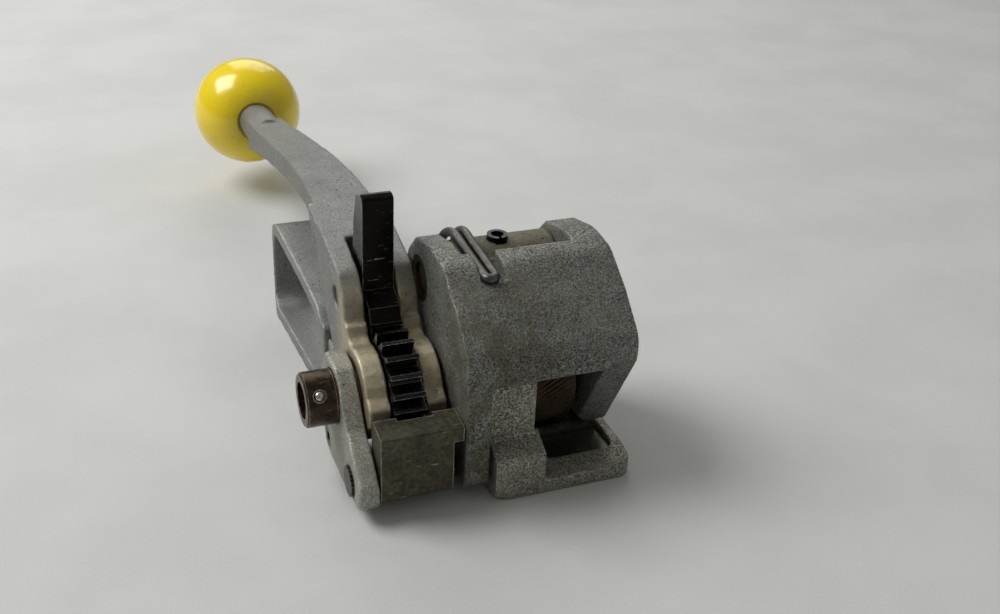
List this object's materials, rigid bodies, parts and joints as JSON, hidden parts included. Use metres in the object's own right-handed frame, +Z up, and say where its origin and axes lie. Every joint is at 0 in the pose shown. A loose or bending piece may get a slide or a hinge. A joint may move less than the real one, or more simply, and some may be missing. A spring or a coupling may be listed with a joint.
{
  "type": "strapping tensioner",
  "caption": "Hand ratchet tensioner for steel strap: cranked lever with ball knob, toothed feed wheel over a slotted foot, thumb pawl, holding pawl and rear finger loop",
  "frame": {"origin": "on the flat underside of the foot, straight below the middle of the feed wheel", "axes": "+X along the feed shaft from the collar towards the feed wheel, +Y back towards the ball knob, +Z up"},
  "size_m": [0.0887, 0.2611, 0.075],
  "materials": {
    "base_alloy": "sand-cast alloy, worn and greasy",
    "cover_alloy": "blasted sand-cast alloy with dark speckle",
    "plate_alloy": "cast alloy, rounded and pitted",
    "handle_alloy": "cast alloy, bronze-tinted where it wears",
    "bearing_bronze": "oiled sintered bronze",
    "knob_plastic": "glossy moulded phenolic",
    "knob_brass": "turned brass",
    "spring_steel": "drawn spring wire, oiled",
    "black_fastener": "black oxide",
    "hardened_steel": "dark hardened tool steel",
    "black_steel": "black oxide with bright worn edges",
    "pawl_steel": "mottled dark steel",
    "collar_steel": "brown oxidised turned steel",
    "pin_steel": "ground steel",
    "bright_steel": "polished ball end"
  },
  "bodies": {
    "base": {"base_casting": "base_alloy", "gripper_plate": "hardened_steel", "gripper_screws": "black_fastener", "grip_loop": "base_alloy", "grip_screws": "black_fastener", "pivot_pin": "pin_steel", "hub_roll_pin": "black_fastener"},
    "frame": {"housing": "cover_alloy", "side_plate": "plate_alloy", "pawl_pivot_pin": "pin_steel", "rear_stud": "pin_steel", "rear_stud_screws": "black_fastener", "base_spring": "spring_steel", "hold_pawl_spring": "spring_steel", "pivot_bush_left": "bearing_bronze", "pivot_bush_right": "bearing_bronze", "shaft_bearing_left": "bearing_bronze", "shaft_bearing_middle": "bearing_bronze", "shaft_bearing_right": "bearing_bronze"},
    "shaft": {"main_shaft": "pin_steel", "ratchet_wheel": "black_steel", "ratchet_key": "pin_steel", "feed_wheel": "hardened_steel", "feed_key": "pin_steel", "wheel_spacer": "pin_steel", "shaft_ring": "black_fastener", "shaft_collar": "collar_steel", "collar_plunger": "bright_steel"},
    "handle": {"handle_casting": "handle_alloy", "cheek_bushes": "bearing_bronze", "drive_pawl_pin": "pin_steel", "ball_knob": "knob_plastic", "knob_insert": "knob_brass"},
    "drive_pawl": {"drive_pawl": "black_steel", "drive_pawl_spring": "spring_steel"},
    "hold_pawl": {"hold_pawl": "pawl_steel"}
  },
  "joints": [
    {"name": "housing_tilt", "type": "hinge", "parent": "base", "child": "frame", "pos_m": [-0.0086, 0.0147, 0.0485], "axis": [1, 0, 0], "range_deg": [-6, 0], "stiffness_Nm_per_rad": 1, "springref_deg": 45.84},
    {"name": "shaft_turn", "type": "hinge", "parent": "frame", "child": "shaft", "pos_m": [0, 0, 0.0242], "axis": [1, 0, 0], "continuous": true},
    {"name": "handle_swing", "type": "hinge", "parent": "frame", "child": "handle", "pos_m": [-0.0418, 0, 0.0242], "axis": [1, 0, 0], "range_deg": [0, 90]},
    {"name": "thumb_lever", "type": "hinge", "parent": "handle", "child": "drive_pawl", "pos_m": [-0.0418, 0.0199, 0.0435], "axis": [1, 0, 0], "range_deg": [-14, 17.5], "stiffness_Nm_per_rad": 0.05},
    {"name": "hold_release", "type": "hinge", "parent": "frame", "child": "hold_pawl", "pos_m": [-0.0418, -0.0175, 0.0078], "axis": [1, 0, 0], "range_deg": [-8.6, 20], "stiffness_Nm_per_rad": 0.05}
  ]
}
